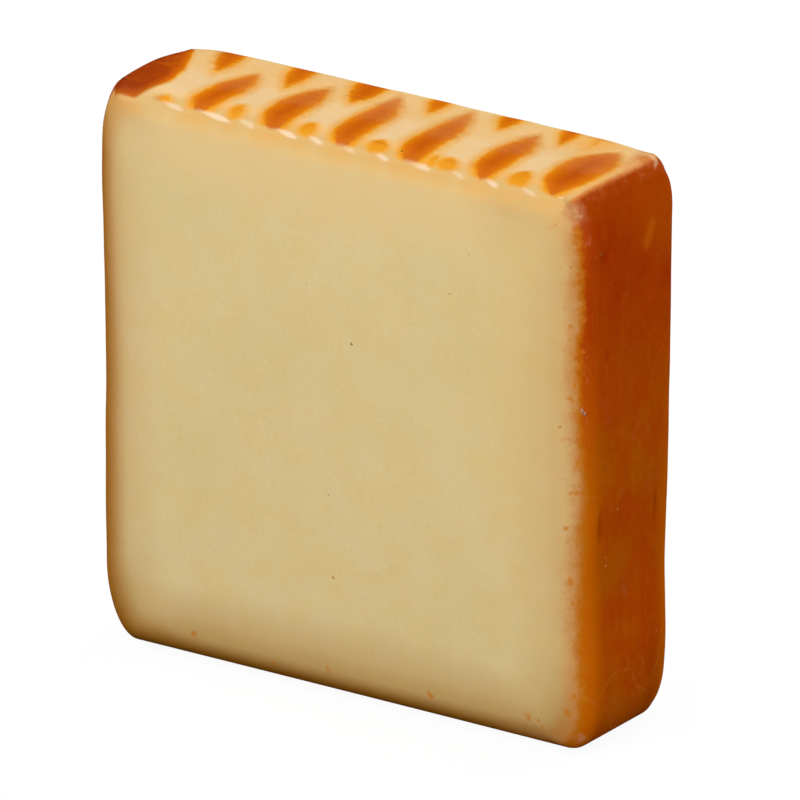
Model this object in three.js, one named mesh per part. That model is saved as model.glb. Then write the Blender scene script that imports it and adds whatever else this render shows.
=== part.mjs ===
// A slab of smoked cheese, cut across a square loaf and standing on its lower edge.
// Millimetres, +Z up, origin under the middle of the slab, the shown cut face towards -Y.
import * as THREE from 'three';
import { mergeVertices } from 'three/addons/utils/BufferGeometryUtils.js';

// Section of the loaf and thickness of the slice
const WIDTH = 100;
const HEIGHT = 100.9;
const THICKNESS = 28.1;

// Each corner of the section is a quarter oval, taller than it is wide
const CORNERS = {
  topRight: { across: 3.9, down: 9.5 },
  topLeft: { across: 4.0, down: 8.7 },
  bottomLeft: { across: 6.3, down: 13.6 },
  bottomRight: { across: 4.8, down: 8.5 },
};

// Radii of the rims between the rind and the two cut faces
const FRONT_RIM = 5;
const BACK_RIM = 4;
// At its corners the back rim is larger by this share, which dies away along the edges
const BACK_CORNER_GAIN = 0.33;
const CORNER_SHARPNESS = 6;

// The cuts are not parallel: shares of the thickness gained from edge to edge
const THICKER_TO_RIGHT = 0.053;
const THICKER_TO_TOP = 0.105;
// Drop of the top from its left end to its right end
const TOP_FALL = 1.1;
// The underside is uneven by this much: it stands on both ends of its front edge and on the
// middle of its back edge, at these distances from the middle
const UNDERSIDE_LIFT = 0.05;
const STANCE_ACROSS = 43;
const STANCE_THROUGH = 7;

// Swells (+) and hollows (-) of the side walls: height and spread up the wall, and amount
const RIGHT_WALL = [
  { height: 31, spread: 9, amount: -0.3 },
  { height: 14, spread: 6, amount: 0.25 },
];
const LEFT_WALL = [
  { height: 84, spread: 9, amount: 0.15 },
  { height: 54, spread: 14, amount: -0.25 },
  { height: 27, spread: 9, amount: 0.15 },
];

// Facets along each direction of the block that the slab is shaped from
const FACETS_ACROSS = 32;
const FACETS_THROUGH = 12;
const FACETS_UP = 32;

// Look of the pale cut cheese
const PASTE_COLOUR = 0xd8bf8b;
const PASTE_ROUGHNESS = 0.55;

const HALF_WIDTH = WIDTH / 2;
const HALF_HEIGHT = HEIGHT / 2;
const HALF_THICKNESS = THICKNESS / 2;
// Side of the block before shaping, which runs from -1 to 1 each way
const BLOCK_SIDE = 2;

// Crowds the grid lines towards the edges, so that the rims get most of the facets.
function crowd(share) {
  return Math.sin(share * Math.PI / 2);
}

// Puts a point of the unit square's edge onto the outline of the loaf's section.
function outlinePoint(across, up) {
  const name = (up > 0 ? 'top' : 'bottom') + (across > 0 ? 'Right' : 'Left');
  const oval = new THREE.Vector2(CORNERS[name].across, CORNERS[name].down);
  const reach = new THREE.Vector2(HALF_WIDTH, HALF_HEIGHT).sub(oval);
  const flat = new THREE.Vector2(across * HALF_WIDTH, up * HALF_HEIGHT);
  const core = flat.clone().clamp(reach.clone().negate(), reach);
  const arm = flat.sub(core).divide(oval).normalize();
  return core.add(arm.multiply(oval));
}

// Rounds the square edge between rind and cut face.
// The inset runs in from the rind, and the reach out from the middle of the thickness.
function rimPoint(inset, reach, radius) {
  const core = new THREE.Vector2(
    Math.max(inset, radius),
    Math.min(reach, HALF_THICKNESS - radius),
  );
  const arm = new THREE.Vector2(inset, reach).sub(core).setLength(radius);
  return core.add(arm);
}

// Puts a point of the unit block's skin onto the rounded slab, centred on the origin.
function slabPoint(across, through, up) {
  const ring = Math.max(Math.abs(across), Math.abs(up), Number.EPSILON);
  const cornerness = Math.min(Math.abs(across), Math.abs(up)) / ring;
  const backGain = 1 + BACK_CORNER_GAIN * cornerness ** CORNER_SHARPNESS;
  const radius = through < 0 ? FRONT_RIM : BACK_RIM * backGain;
  const rim = rimPoint((1 - ring) * HALF_WIDTH, Math.abs(through) * HALF_THICKNESS, radius);
  const section = outlinePoint(across / ring, up / ring);
  section.multiplyScalar(1 - rim.x / HALF_WIDTH);
  return new THREE.Vector3(section.x, Math.sign(through) * rim.y, section.y);
}

// Height of the underside above the three points that it stands on.
function underside(x, y) {
  const end = Math.min(Math.abs(x) / STANCE_ACROSS, 1) ** 2;
  const back = THREE.MathUtils.clamp(y / STANCE_THROUGH, -1, 1) / 2 + 0.5;
  return UNDERSIDE_LIFT * THREE.MathUtils.lerp(1 - end, end, back);
}

// Leans the cuts and the top, swells the walls, and raises the slab to stand near Z = 0.
function settle(point) {
  const across = point.x / HALF_WIDTH;
  const up = point.z / HALF_HEIGHT;
  const height = point.z + HALF_HEIGHT;
  for (const swell of across > 0 ? RIGHT_WALL : LEFT_WALL) {
    const distance = (height - swell.height) / swell.spread;
    point.x += across * swell.amount * Math.exp(-(distance ** 2));
  }
  point.z = height - TOP_FALL * across * (up + 1) / 4;
  point.z += underside(point.x, point.y) * (1 - up) / 2;
  point.y *= 1 + (THICKER_TO_RIGHT * across + THICKER_TO_TOP * up) / 2;
  return point;
}

// Shapes a finely divided block into the slab.
function slabGeometry() {
  const block = new THREE.BoxGeometry(
    BLOCK_SIDE, BLOCK_SIDE, BLOCK_SIDE, FACETS_ACROSS, FACETS_THROUGH, FACETS_UP,
  );
  block.deleteAttribute('normal');
  block.deleteAttribute('uv');
  const geometry = mergeVertices(block);
  const corners = geometry.getAttribute('position');
  const point = new THREE.Vector3();
  for (let i = 0; i < corners.count; i += 1) {
    point.fromBufferAttribute(corners, i);
    const shaped = settle(slabPoint(crowd(point.x), crowd(point.y), crowd(point.z)));
    corners.setXYZ(i, shaped.x, shaped.y, shaped.z);
  }
  geometry.computeBoundingBox();
  const middle = geometry.boundingBox.getCenter(new THREE.Vector3());
  geometry.translate(-middle.x, -middle.y, -geometry.boundingBox.min.z);
  geometry.computeVertexNormals();
  return geometry;
}

const paste = new THREE.MeshStandardMaterial({
  color: PASTE_COLOUR,
  roughness: PASTE_ROUGHNESS,
  metalness: 0,
});

const slab = new THREE.Mesh(slabGeometry(), paste);
slab.name = 'cheese_slab';

const cheese = new THREE.Group();
cheese.add(slab);

export default cheese;
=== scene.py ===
# %% [markdown]
# # A slab of smoked cheese
# This lesson dresses a plain solid until it looks like the real thing: a square slice of a smoked
# loaf, pale and smooth where the knife went, and browned where the smoke reached.
# The imported solid comes first. It fixes the size and the place of everything, so the box that it
# fills is kept.

# %% Load the frame
import math

import bmesh
import bpy
import numpy as np
from mathutils import Matrix, Vector


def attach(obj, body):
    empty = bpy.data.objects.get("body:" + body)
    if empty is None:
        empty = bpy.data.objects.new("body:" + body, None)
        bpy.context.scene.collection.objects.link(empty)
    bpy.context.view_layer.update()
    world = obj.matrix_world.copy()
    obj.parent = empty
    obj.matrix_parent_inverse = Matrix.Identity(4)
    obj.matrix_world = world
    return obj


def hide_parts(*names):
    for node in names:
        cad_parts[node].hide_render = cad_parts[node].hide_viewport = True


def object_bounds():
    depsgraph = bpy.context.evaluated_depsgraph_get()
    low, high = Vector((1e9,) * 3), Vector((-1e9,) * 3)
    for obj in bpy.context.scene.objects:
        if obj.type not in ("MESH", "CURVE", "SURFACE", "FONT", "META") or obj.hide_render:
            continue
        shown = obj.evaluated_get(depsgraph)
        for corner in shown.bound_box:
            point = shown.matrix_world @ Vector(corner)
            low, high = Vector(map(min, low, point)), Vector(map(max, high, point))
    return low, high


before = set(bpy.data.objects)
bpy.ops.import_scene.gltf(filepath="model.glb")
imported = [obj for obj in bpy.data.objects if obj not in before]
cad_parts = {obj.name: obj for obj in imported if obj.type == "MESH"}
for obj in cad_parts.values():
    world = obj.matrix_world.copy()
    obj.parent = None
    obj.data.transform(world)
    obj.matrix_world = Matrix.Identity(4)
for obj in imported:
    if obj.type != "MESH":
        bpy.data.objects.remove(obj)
cad_low, cad_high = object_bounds()
MM = 0.001
print("solid to dress:", sorted(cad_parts))
print("its size in mm:", [round(side / MM, 2) for side in cad_high - cad_low])

# %% [markdown]
# ## The measures of the slice
# The slice stands on its lower edge. Each corner of its square section is a quarter oval, taller
# than it is wide, and the edges between rind and cut face are rounded like an old bar of soap.
# The numbers repeat those of the solid, in millimetres, because the skin made here has to lie on it.

# %% Write down the measures
HALF_WIDTH = 50.0
HALF_HEIGHT = 50.45
HALF_THICKNESS = 14.05
CORNER_ACROSS = {"top right": 3.9, "top left": 4.0, "bottom left": 6.3, "bottom right": 4.8}
CORNER_DOWN = {"top right": 9.5, "top left": 8.7, "bottom left": 13.6, "bottom right": 8.5}
FRONT_RIM = 5.0
BACK_RIM = 4.0
BACK_CORNER_GAIN = 0.33
CORNER_SHARPNESS = 6
THICKER_TO_RIGHT = 0.053
THICKER_TO_TOP = 0.105
TOP_FALL = 1.1
# The cut faces swell a little between their edges
CROWN = 0.5
CROWN_WIDTH = 13.0
UNDERSIDE_LIFT = 0.05
STANCE_ACROSS = 43.0
STANCE_THROUGH = 7.0
# Swells of the side walls: height up the wall, spread along it, and amount
RIGHT_WALL = [(31.0, 9.0, -0.3), (14.0, 6.0, 0.25)]
LEFT_WALL = [(84.0, 9.0, 0.15), (54.0, 14.0, -0.25), (27.0, 9.0, 0.15)]
print("section", 2 * HALF_WIDTH, "by", 2 * HALF_HEIGHT, "mm, slice", 2 * HALF_THICKNESS, "mm")

# %% [markdown]
# ## A block with a fine grid
# A slab with soft edges could be a cube with a bevel, but a bevel leaves the faces as single large
# polygons, and the smoke marks need points to push on. So a cube is cut into a fine grid along each
# axis, and each grid point is then carried onto the rounded slab. The grid lines are crowded a
# little towards the edges, where the surface turns.

# %% Cut the block
FACETS = (170, 52, 170)
CROWDING = 0.5


def cut_block(facets):
    """A cube from -1 to 1 with that many facets along each axis."""
    block = bmesh.new()
    bmesh.ops.create_cube(block, size=2)
    for axis, count in enumerate(facets):
        along = [e for e in block.edges if abs(e.verts[0].co[axis] - e.verts[1].co[axis]) > 0.001]
        bmesh.ops.subdivide_edges(block, edges=along, cuts=count - 1, use_grid_fill=True)
    return block


block = cut_block(FACETS)
slab_mesh = bpy.data.meshes.new("cheese_skin")
block.to_mesh(slab_mesh)
block.free()
grid = np.empty(len(slab_mesh.vertices) * 3, np.float32)
slab_mesh.vertices.foreach_get("co", grid)
grid = grid.reshape(-1, 3).astype(float)
grid += CROWDING * (np.sin(grid * math.pi / 2) - grid)
across, through, up = grid.T
print("grid points:", len(grid), "facets:", len(slab_mesh.polygons))

# %% [markdown]
# ## From block to slab
# The same steps as in the solid are done here for all points at once. First the rim: the distance
# in from the rind and the distance out from the middle of the slice meet in a quarter circle.
# On the way each point gets a second address, the length of skin between it and the place where
# the rim starts. It is negative on the rind and grows over the rim and across the cut face. The
# browning follows that length all round, so it is kept for the colours.

# %% Round the rim
ring = np.maximum(np.maximum(abs(across), abs(up)), 1e-9)
cornerness = np.minimum(abs(across), abs(up)) / ring
back_rim = BACK_RIM * (1 + BACK_CORNER_GAIN * cornerness ** CORNER_SHARPNESS)
radius = np.where(through < 0, FRONT_RIM, back_rim)
inset = (1 - ring) * HALF_WIDTH
reach = abs(through) * HALF_THICKNESS
core_inset = np.maximum(inset, radius)
core_reach = np.minimum(reach, HALF_THICKNESS - radius)
turn = np.arctan2(reach - core_reach, core_inset - inset)
rim_inset = core_inset - radius * np.cos(turn)
rim_reach = core_reach + radius * np.sin(turn)
# Skin lengths are longer towards a corner, where the outline lies further from the middle
CORNER_STRETCH = 0.37
stretched = (core_inset - radius) * (1 + CORNER_STRETCH * cornerness ** CORNER_SHARPNESS)
inward = radius * turn + stretched - (HALF_THICKNESS - radius - core_reach)
print("skin from the rim's start: %.1f to %.1f mm" % (inward.min(), inward.max()))

# %% [markdown]
# Then the section. A point of the square's edge moves onto the outline with its oval corners, and
# the rim's inset shrinks that outline towards the middle. `around` is a third address: how far
# the point lies round the section from the middle of the top, up to 50 mm on the top, 150 mm at
# the foot of a side, and 200 mm in the middle of the underside.

# %% Carry the points onto the outline
is_right = across > 0
is_top = up > 0


def by_corner(sizes):
    """The size of the corner that each point is nearest to."""
    top = np.where(is_right, sizes["top right"], sizes["top left"])
    bottom = np.where(is_right, sizes["bottom right"], sizes["bottom left"])
    return np.where(is_top, top, bottom)


oval_x = by_corner(CORNER_ACROSS)
oval_z = by_corner(CORNER_DOWN)
flat_x = across / ring * HALF_WIDTH
flat_z = up / ring * HALF_HEIGHT
core_x = np.clip(flat_x, oval_x - HALF_WIDTH, HALF_WIDTH - oval_x)
core_z = np.clip(flat_z, oval_z - HALF_HEIGHT, HALF_HEIGHT - oval_z)
arm_x = (flat_x - core_x) / oval_x
arm_z = (flat_z - core_z) / oval_z
arm = np.hypot(arm_x, arm_z)
shrink = 1 - rim_inset / HALF_WIDTH
x = (core_x + arm_x / arm * oval_x) * shrink
z = (core_z + arm_z / arm * oval_z) * shrink
y = np.sign(through) * rim_reach
on_side = abs(flat_x) > HALF_WIDTH - 1e-6
around = np.where(is_top, abs(flat_x), 3 * HALF_WIDTH + HALF_WIDTH - abs(flat_x))
around = np.where(on_side, HALF_WIDTH + (HALF_HEIGHT - flat_z), around)
print("section: %.1f by %.1f mm" % (np.ptp(x), np.ptp(z)))

# %% [markdown]
# Last, the hand of the cutter and the pull of the shelf: the two cuts aren't parallel, the top
# falls a little to the right, the side walls swell and sink, and the underside stands on three
# points. The skin is then set where the solid's box is.

# %% Lean, swell and settle
share_x = x / HALF_WIDTH
share_z = z / HALF_HEIGHT
height = z + HALF_HEIGHT
for wall, chosen in ((RIGHT_WALL, share_x > 0), (LEFT_WALL, share_x <= 0)):
    for middle, spread, amount in wall:
        swell = share_x * amount * np.exp(-(((height - middle) / spread) ** 2))
        x = np.where(chosen, x + swell, x)
on_cut = np.minimum(turn * 2 / math.pi, 1)
end = np.minimum(abs(x) / STANCE_ACROSS, 1) ** 2
back = np.clip(y / STANCE_THROUGH, -1, 1) / 2 + 0.5
lift = UNDERSIDE_LIFT * ((1 - end) * (1 - back) + end * back)
z = height - TOP_FALL * share_x * (share_z + 1) / 4 + lift * (1 - share_z) / 2
thickness_gain = 1 + (THICKER_TO_RIGHT * share_x + THICKER_TO_TOP * share_z) / 2
crown = CROWN * (1 - np.maximum(1 - rim_inset / CROWN_WIDTH, 0) ** 2) * on_cut
y = (y + np.sign(through) * crown) * thickness_gain
low = np.array(cad_low) / MM
high = np.array(cad_high) / MM
x += (low[0] + high[0]) / 2 - (x.min() + x.max()) / 2
y += (low[1] + high[1]) / 2 - (y.min() + y.max()) / 2
z += low[2] - z.min()
skin = np.stack([x, y, z], axis=1)
print("skin box in mm:", skin.min(axis=0).round(2), skin.max(axis=0).round(2))

# %% [markdown]
# ## Where the smoke reached the top
# The loaf lay against the strands of a rack in the smoker. The strands kept the smoke off and left
# a pale lattice, and the smoke browned the cheese in the openings: spindle-shaped marks in rows,
# about 14 mm apart, with the next rows half a step aside. A picture could be used for this, but
# spindles are simple enough to describe: a middle, a half width, and the two ends where the width
# runs out.
# The field below says how deep a point lies inside a mark, in millimetres, and is negative on the
# pale strands. The depth is counted on the unrolled skin, so the marks run on over the rims.

# %% Describe the rows of marks
# Middle row: widest place (across, through) and half width there, back tip (across, through),
# front end (across, length), and how blunt it is
MIDDLE_ROW = [
    (-28.6, -5.0, 3.4, -28.8, 4.8, -28.8, 10.3, 5.5),
    (-15.0, -5.0, 3.6, -15.2, 6.6, -13.6, 10.3, 5.5),
    (-0.7, -5.0, 3.5, -2.9, 9.2, 0.5, 10.3, 5.5),
    (13.0, -5.5, 3.5, 11.1, 9.9, 14.3, 10.0, 5.5),
    (27.3, -4.5, 3.4, 26.4, 7.0, 28.6, 10.3, 5.0),
    (41.7, -1.8, 4.6, 41.8, 7.8, 42.6, 12.8, 4.2),
]
# Back row: across and half width at the back edge, front tip (across, through), and strength
BACK_ROW = [
    (-37.8, 2.8, -35.3, 0.8, 1.0),
    (-23.6, 2.8, -21.1, 0.9, 1.0),
    (-9.8, 3.5, -7.8, 0.8, 1.0),
    (4.1, 2.2, 5.7, 4.4, 1.0),
    (18.3, 2.4, 19.8, 4.4, 1.0),
    (30.3, 2.2, 32.0, 4.4, 1.0),
    (36.0, 1.3, 36.6, 6.8, 0.3),
]
BACK_ROW_AT = 11.0
# Front row: across, half width and back tip of the small marks on the rim, and their front tip
FRONT_ROW = [
    (-36.0, 1.2, -11.9),
    (-21.9, 1.4, -9.4),
    (-7.4, 1.7, -9.6),
    (6.8, 2.0, -9.8),
    (18.1, 1.0, -10.2),
    (21.0, 1.9, -10.2),
    (35.1, 2.1, -8.6),
]
FRONT_ROW_AT = -14.4
FRONT_ROW_DEEPEST = 0.7
# The left end is browned all over, up to a line that bends away at the back and at the front
LEFT_END = -38.8
LEFT_END_FROM = -7.5
LEFT_END_LENGTH = 18.3
LEFT_END_FRONT = 11.0
LEFT_END_BEND = 7.2
LEFT_END_STRENGTH = 2.6
DEEPEST = 8.0
print("marks:", len(MIDDLE_ROW), "in the middle,", len(BACK_ROW), "behind,", len(FRONT_ROW), "in front")

# %% Measure how deep each point lies in a mark
def middle_depth(x, s):
    """How far inside a mark of the middle row each point lies."""
    depth = np.full_like(x, -DEEPEST)
    for middle, widest, half, tip_x, tip_s, front_x, front, blunt in MIDDLE_ROW:
        behind = np.clip((s - widest) / (tip_s - widest), 0, 3)
        ahead = np.clip((widest - s) / front, 0, 3)
        line = middle + (tip_x - middle) * behind ** 2 + (front_x - middle) * ahead
        width = half * (1 - behind ** 2.3 - ahead ** blunt)
        depth = np.maximum(depth, width - abs(x - line))
    return depth


def outer_depth(x, s):
    """How far inside a mark of the back row, the front row or the left end each point lies."""
    depth = np.full_like(x, -DEEPEST)
    for middle, half, tip_x, tip_s, strength in BACK_ROW:
        share = np.clip((BACK_ROW_AT - s) / (BACK_ROW_AT - tip_s), 0, 3)
        line = middle + (tip_x - middle) * share
        depth = np.maximum(depth, strength * (half * (1 - share ** 2) - abs(x - line)))
    for middle, half, tip_s in FRONT_ROW:
        share = np.clip(2 * (s - FRONT_ROW_AT) / (tip_s - FRONT_ROW_AT) - 1, -3, 3)
        faint = np.minimum(half * (1 - share ** 2) - abs(x - middle), FRONT_ROW_DEEPEST)
        depth = np.maximum(depth, faint)
    reach = np.where(s < LEFT_END_FROM, LEFT_END_FRONT, LEFT_END_LENGTH)
    bend = np.clip(abs(s - LEFT_END_FROM) / reach, 0, 2)
    return np.maximum(depth, LEFT_END_STRENGTH * (LEFT_END - LEFT_END_BEND * bend ** 1.7 - x))


def mark_depth(x, s):
    """How far inside any mark each point lies; s runs through the slice on the unrolled skin."""
    return np.clip(np.maximum(middle_depth(x, s), outer_depth(x, s)), -DEEPEST, DEEPEST)


unrolled = np.sign(through) * (HALF_THICKNESS - radius + inward) * (1 + THICKER_TO_TOP / 2)
smoke = mark_depth(x, unrolled)
# 1 where a point belongs to the middle row rather than to the other marks
in_middle_row = np.clip(middle_depth(x, unrolled) - outer_depth(x, unrolled), 0, 1)
GLOW_FROM = -11.5
glow = mark_depth(x, np.clip(unrolled, GLOW_FROM, BACK_ROW_AT))
print("share of the skin inside a mark: %.2f" % (smoke > 0).mean())

# %% [markdown]
# The front rim glints in a row of short slanting streaks, where grease has come out of the cheese.
# A glossy rim would give one even line of light, so each streak is written down as a slender lens,
# thicker towards its right end. The streaks make one more layer, and inside a mark, where the smoke
# has dried the skin, they are weaker.

# %% Lay the greasy streaks
# Each streak: from, to (across), and strength
GREASY = [
    (-37.0, -31.6, 0.6),
    (-30.0, -22.2, 0.9),
    (-21.0, -17.0, 0.6),
    (-13.8, -8.6, 0.9),
    (-6.8, -3.2, 0.8),
    (-1.2, 3.4, 0.5),
    (6.9, 9.8, 0.8),
    (12.4, 18.8, 0.9),
    (22.4, 25.2, 0.5),
    (28.8, 32.0, 0.8),
    (36.0, 39.6, 0.5),
    (43.4, 48.6, 0.9),
]
GREASY_AT = -13.8
GREASY_HALF = 0.62
GREASY_SLANT = 1.0
GREASY_BOW = 2.6
GREASY_CRISPNESS = 3
DULLED_IN_MARKS = 0.6
grease = np.zeros_like(smoke)
for start, stop, strength in GREASY:
    share = np.clip((x - start) / (stop - start), 0, 1)
    bow = GREASY_BOW * share * np.sqrt(1 - share)
    streak = bow - abs(unrolled - GREASY_AT - GREASY_SLANT * (0.5 - share)) / GREASY_HALF
    streak = np.clip(streak * GREASY_CRISPNESS, 0, 1) * (around < HALF_WIDTH)
    grease = np.maximum(grease, strength * streak)
grease *= 1 - DULLED_IN_MARKS * np.clip((smoke + 0.2) / 1.2, 0, 1)
print("greasy streaks:", len(GREASY), "on", (grease > 0).sum(), "points")

# %% [markdown]
# ## Relief
# The openings of the rack let the cheese bulge a little, so the marks stand proud of the strands.
# The rind has dried unevenly and carries long shallow ridges down its sides, it has a few nicks,
# and some corners are worn round. Such soft unevenness could come from a noise texture in the
# material, but then the outline would stay perfectly straight, so the larger part of it is real:
# a sum of gentle waves in directions drawn from a fixed seed, which pushes the points along their
# normals.

# %% Make gentle waves
def waves(points, shortest, longest, seed, count=24):
    """A smooth random field from about -1 to 1, with wavelengths in millimetres."""
    draw = np.random.default_rng(seed)
    field = np.zeros(len(points))
    for _ in range(count):
        direction = draw.normal(size=3)
        direction /= np.linalg.norm(direction)
        length = draw.uniform(shortest, longest)
        field += np.sin(points @ direction * (2 * math.pi / length) + draw.uniform(0, 2 * math.pi))
    return field / math.sqrt(count)


def ease(value, start, stop):
    """0 before start, 1 after stop, and a soft step between them."""
    share = np.clip((value - start) / (stop - start), 0, 1)
    return share * share * (3 - 2 * share)


print("waves at the first points:", waves(skin[:4], 6, 16, 3).round(2))

# %% Write down the relief
MARK_RISE = 0.1
RIND_SWELL = 0.05
RIDGE = 0.012
CUT_SWELL = 0.035
# Nicks in the right wall: through, height, half length up, half width, depth
NICKS = [
    (-8.6, 88.3, 1.2, 0.9, 0.3),
    (-7.4, 70.3, 0.8, 0.6, 0.3),
    (-9.0, 40.2, 2.4, 0.8, 0.35),
    (8.0, 38.6, 2.6, 0.6, 0.25),
]
# Corners that are worn round, or bulge where the depth is negative: place, spread and depth
WORN_CORNERS = [
    (-48.0, -12.0, 99.5, 6.0, 0.4),
    (-48.0, 10.5, 99.5, 4.5, 0.75),
    (44.5, 10.5, 101.2, 4.0, 0.45),
    (49.0, 11.0, 96.6, 5.5, -0.35),
    (-48.0, -1.5, 100.2, 6.0, -0.3),
    (47.0, 12.0, 100.4, 5.0, 0.15),
]
print("nicks:", len(NICKS), "worn or bulging corners:", len(WORN_CORNERS))

# %% Add the relief up
RIDGE_STRETCH = 0.06
on_top = ease(around, 60.0, 42.0)
on_rind = ease(inward, 4.0, 1.0)
off_foot = ease(around, 150, 138)
push = MARK_RISE * (ease(smoke, -0.9, 0.9) - 1) * on_top * on_rind * ease(unrolled, 9, 5)
push += RIND_SWELL * waves(skin, shortest=7, longest=18, seed=3) * on_rind * off_foot
upright = skin * np.array([1.0, 1.0, RIDGE_STRETCH])
push += RIDGE * waves(upright, shortest=1.5, longest=5, seed=5) * on_rind * (1 - on_top) * off_foot
push += CUT_SWELL * waves(skin, shortest=8, longest=24, seed=7) * (1 - on_rind) * off_foot
for nick_y, nick_z, long, wide, deep in NICKS:
    away = ((y - nick_y) / wide) ** 2 + ((z - nick_z) / long) ** 2
    push -= deep * np.exp(-away) * (x > 0)
for corner_x, corner_y, corner_z, spread, deep in WORN_CORNERS:
    away = np.linalg.norm(skin - np.array([corner_x, corner_y, corner_z]), axis=1) / spread
    push -= deep * np.exp(-(away ** 2))
print("relief from %.2f to %.2f mm" % (push.min(), push.max()))

# %% Push the points out
slab_mesh.vertices.foreach_set("co", (skin * MM).ravel())
slab_mesh.update()
normals = np.empty(len(skin) * 3, np.float32)
slab_mesh.vertex_normals.foreach_get("vector", normals)
skin += push[:, None] * normals.reshape(-1, 3)
skin[:, 2] = np.maximum(skin[:, 2], 0)
slab_mesh.vertices.foreach_set("co", (skin * MM).ravel())
slab_mesh.update()
print("skin box with relief in mm:", skin.min(axis=0).round(2), skin.max(axis=0).round(2))

# %% [markdown]
# Where three faces of the block met, the grid lines bend sharply and the skin is pinched a little,
# which shows as a small kink in the outline of the top corners. The points there are easy to find,
# because no others have only three edges. A few passes of smoothing around them even the skin out.

# %% Smooth the pinched corners
PINCH_REACH = 1.8
PINCH_PASSES = 6
PINCH_EASING = 0.5
ALL_AXES = {"use_axis_x": True, "use_axis_y": True, "use_axis_z": True}
block = bmesh.new()
block.from_mesh(slab_mesh)
meeting = [v for v in block.verts if len(v.link_edges) == 3 and v.co.z > HALF_HEIGHT * MM]
pinched = [v for v in block.verts if min((v.co - m.co).length for m in meeting) < PINCH_REACH * MM]
for _ in range(PINCH_PASSES):
    bmesh.ops.smooth_vert(block, verts=pinched, factor=PINCH_EASING, **ALL_AXES)
block.to_mesh(slab_mesh)
block.free()
flat_points = np.empty(len(skin) * 3, np.float32)
slab_mesh.vertices.foreach_get("co", flat_points)
skin = flat_points.reshape(-1, 3).astype(float) / MM
print("smoothed", len(pinched), "points at", len(meeting), "corners")

# %% [markdown]
# The skin now becomes a piece that takes the solid's place. The addresses go along as layers of the
# mesh, one number for each point, so that the colours can follow the rim, the section and the marks
# without any picture wrapped around the slab.

# %% Make the slab a piece with its addresses
slab = bpy.data.objects.new("smoked_slab", slab_mesh)
bpy.context.scene.collection.objects.link(slab)
slab_mesh.shade_smooth()
ADDRESSES = {
    "inward": inward,
    "around": around,
    "smoke": smoke,
    "in_middle_row": in_middle_row,
    "glow": glow,
    "grease": grease,
}
for name, values in ADDRESSES.items():
    layer = slab_mesh.attributes.new(name, "FLOAT", "POINT")
    layer.data.foreach_set("value", values.astype(np.float32))
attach(slab, "root")
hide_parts("cheese_slab")
print(slab.name, "has", len(slab_mesh.polygons) * 2, "triangles and the layers", list(ADDRESSES))

# %% [markdown]
# ## A small paint box
# A material is a tree of nodes. Wiring it by hand takes many lines, so a few helpers with plain
# names add a node, feed its sockets with numbers or with other sockets, and hand back its output.
# Colours are written as they look on a screen, from 0 to 255, and turned into light amounts.

# %% Helpers for the node trees
def tone(red, green, blue):
    """A colour as seen on a screen, turned into amounts of light."""
    parts = [value / 255 for value in (red, green, blue)]
    light = [p / 12.92 if p <= 0.04045 else ((p + 0.055) / 1.055) ** 2.4 for p in parts]
    return (*light, 1.0)


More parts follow.
